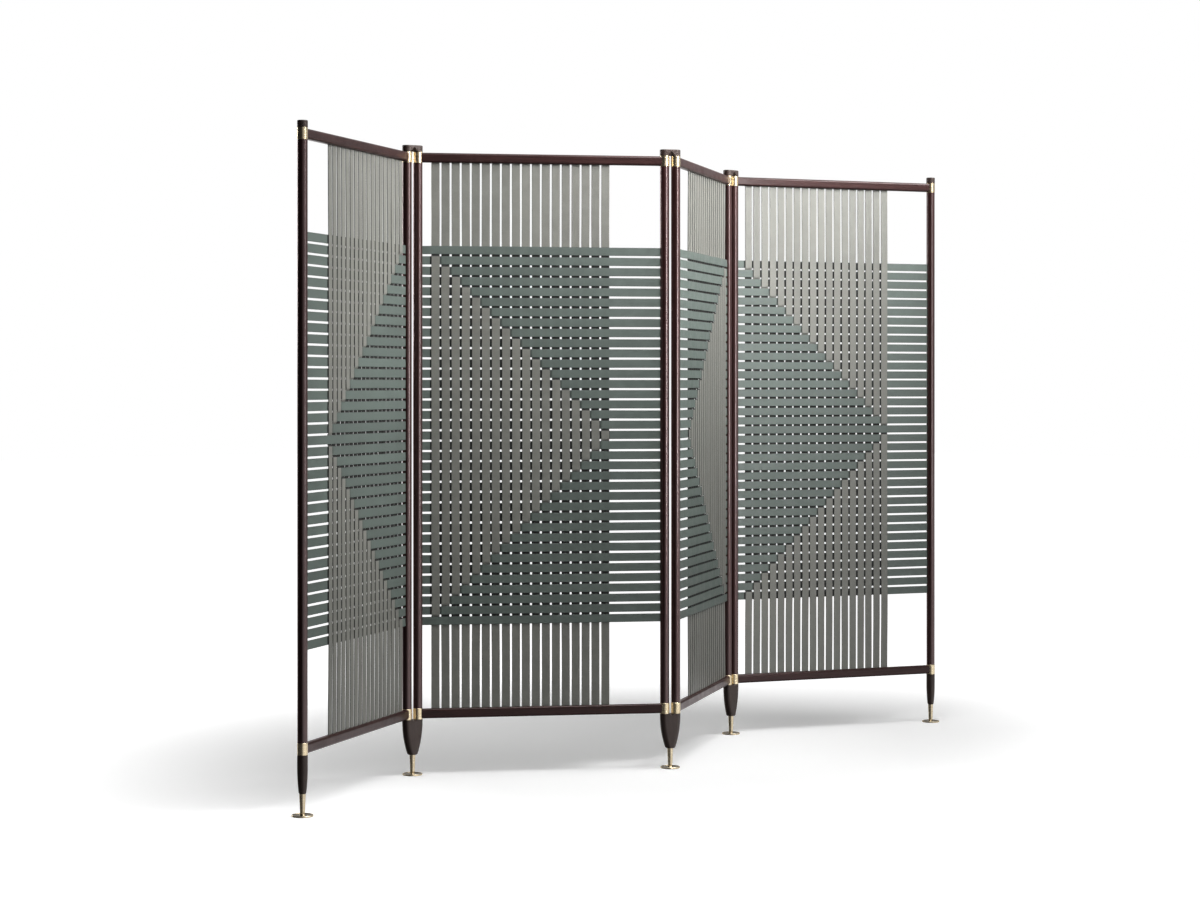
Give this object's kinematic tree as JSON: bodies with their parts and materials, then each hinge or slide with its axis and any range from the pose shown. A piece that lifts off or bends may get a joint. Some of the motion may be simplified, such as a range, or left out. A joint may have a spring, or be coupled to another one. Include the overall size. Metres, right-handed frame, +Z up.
{
  "type": "folding screen",
  "caption": "Free-standing folding room divider: dark wood frames with brass collars, crossed leather straps, pivoting post joints and levelling glides.",
  "frame": {"origin": "on the floor, under the middle of the box round the standing screen", "axes": "+X along the screen from its first panel to its last, +Z up, and -Y the side that the picture is taken from"},
  "size_m": [2.9652, 0.5344, 2.0006],
  "materials": {
    "post_wood": "satin dark red-brown stain",
    "rail_wood": "satin dark red-brown stain",
    "cap_wood": "satin dark red-brown stain",
    "foot_wood": "satin dark red-brown stain",
    "collar_brass": "satin",
    "glide_brass": "satin",
    "upright_leather": "smooth matt",
    "level_leather": "smooth matt",
    "batten_wood": "plain",
    "steel": "plain",
    "washer_plastic": "plain"
  },
  "bodies": {
    "panel_1": {"left_post_1": "post_wood", "right_post_1": "post_wood", "bottom_rail_1": "rail_wood", "top_rail_1": "rail_wood", "collars_1": "collar_brass", "rail_studs_1": "steel", "strap_battens_1": "batten_wood", "vertical_straps_1": "upright_leather", "horizontal_straps_1": "level_leather", "end_cap_1": "cap_wood", "end_foot_1": "foot_wood", "end_pins_1": "steel"},
    "panel_2": {"left_post_2": "post_wood", "right_post_2": "post_wood", "bottom_rail_2": "rail_wood", "top_rail_2": "rail_wood", "collars_2": "collar_brass", "rail_studs_2": "steel", "strap_battens_2": "batten_wood", "vertical_straps_2": "upright_leather", "horizontal_straps_2": "level_leather"},
    "panel_3": {"left_post_3": "post_wood", "right_post_3": "post_wood", "bottom_rail_3": "rail_wood", "top_rail_3": "rail_wood", "collars_3": "collar_brass", "rail_studs_3": "steel", "strap_battens_3": "batten_wood", "vertical_straps_3": "upright_leather", "horizontal_straps_3": "level_leather"},
    "panel_4": {"left_post_4": "post_wood", "right_post_4": "post_wood", "bottom_rail_4": "rail_wood", "top_rail_4": "rail_wood", "collars_4": "collar_brass", "rail_studs_4": "steel", "strap_battens_4": "batten_wood", "vertical_straps_4": "upright_leather", "horizontal_straps_4": "level_leather", "end_cap_4": "cap_wood", "end_foot_4": "foot_wood", "end_pins_4": "steel"},
    "link_12": {"double_cap_12": "cap_wood", "double_foot_12": "foot_wood", "pivot_pins_12": "steel", "thrust_washers_12": "washer_plastic"},
    "link_23": {"double_cap_23": "cap_wood", "double_foot_23": "foot_wood", "pivot_pins_23": "steel", "thrust_washers_23": "washer_plastic"},
    "link_34": {"double_cap_34": "cap_wood", "double_foot_34": "foot_wood", "pivot_pins_34": "steel", "thrust_washers_34": "washer_plastic"},
    "glide_1": {"levelling_glide_1": "glide_brass"},
    "glide_2": {"levelling_glide_2": "glide_brass"},
    "glide_3": {"levelling_glide_3": "glide_brass"},
    "glide_4": {"levelling_glide_4": "glide_brass"},
    "glide_5": {"levelling_glide_5": "glide_brass"}
  },
  "joints": [
    {"name": "panel_2_fold", "type": "hinge", "parent": "link_23", "child": "panel_2", "pos_m": [-0.05122, -0.22639, 0], "axis": [0, 0, -1], "range_deg": [-95.8, 82.2]},
    {"name": "link_12_fold", "type": "hinge", "parent": "panel_2", "child": "link_12", "pos_m": [-0.70814, 0.23018, 0], "axis": [0, 0, 1], "range_deg": [-108.3, 69.7]},
    {"name": "panel_1_fold", "type": "hinge", "parent": "link_12", "child": "panel_1", "pos_m": [-0.74427, 0.2402, 0], "axis": [0, 0, 1], "range_deg": [-132.5, 45.5]},
    {"name": "panel_3_fold", "type": "hinge", "parent": "link_23", "child": "panel_3", "pos_m": [-0.01811, -0.24399, 0], "axis": [0, 0, 1], "range_deg": [-147.6, 30.4]},
    {"name": "link_34_fold", "type": "hinge", "parent": "panel_3", "child": "link_34", "pos_m": [0.67049, 0.16324, 0], "axis": [0, 0, -1], "range_deg": [-114.6, 63.4]},
    {"name": "panel_4_fold", "type": "hinge", "parent": "link_34", "child": "panel_4", "pos_m": [0.70784, 0.16651, 0], "axis": [0, 0, -1], "range_deg": [-115.8, 62.2]},
    {"name": "glide_1_level", "type": "slide", "parent": "panel_1", "child": "glide_1", "axis": [0, 0, -1], "range_m": [0, 0.012]},
    {"name": "glide_2_level", "type": "slide", "parent": "link_12", "child": "glide_2", "axis": [0, 0, -1], "range_m": [0, 0.012]},
    {"name": "glide_3_level", "type": "slide", "parent": "link_23", "child": "glide_3", "axis": [0, 0, -1], "range_m": [0, 0.012]},
    {"name": "glide_4_level", "type": "slide", "parent": "link_34", "child": "glide_4", "axis": [0, 0, -1], "range_m": [0, 0.012]},
    {"name": "glide_5_level", "type": "slide", "parent": "panel_4", "child": "glide_5", "axis": [0, 0, -1], "range_m": [0, 0.012]}
  ]
}
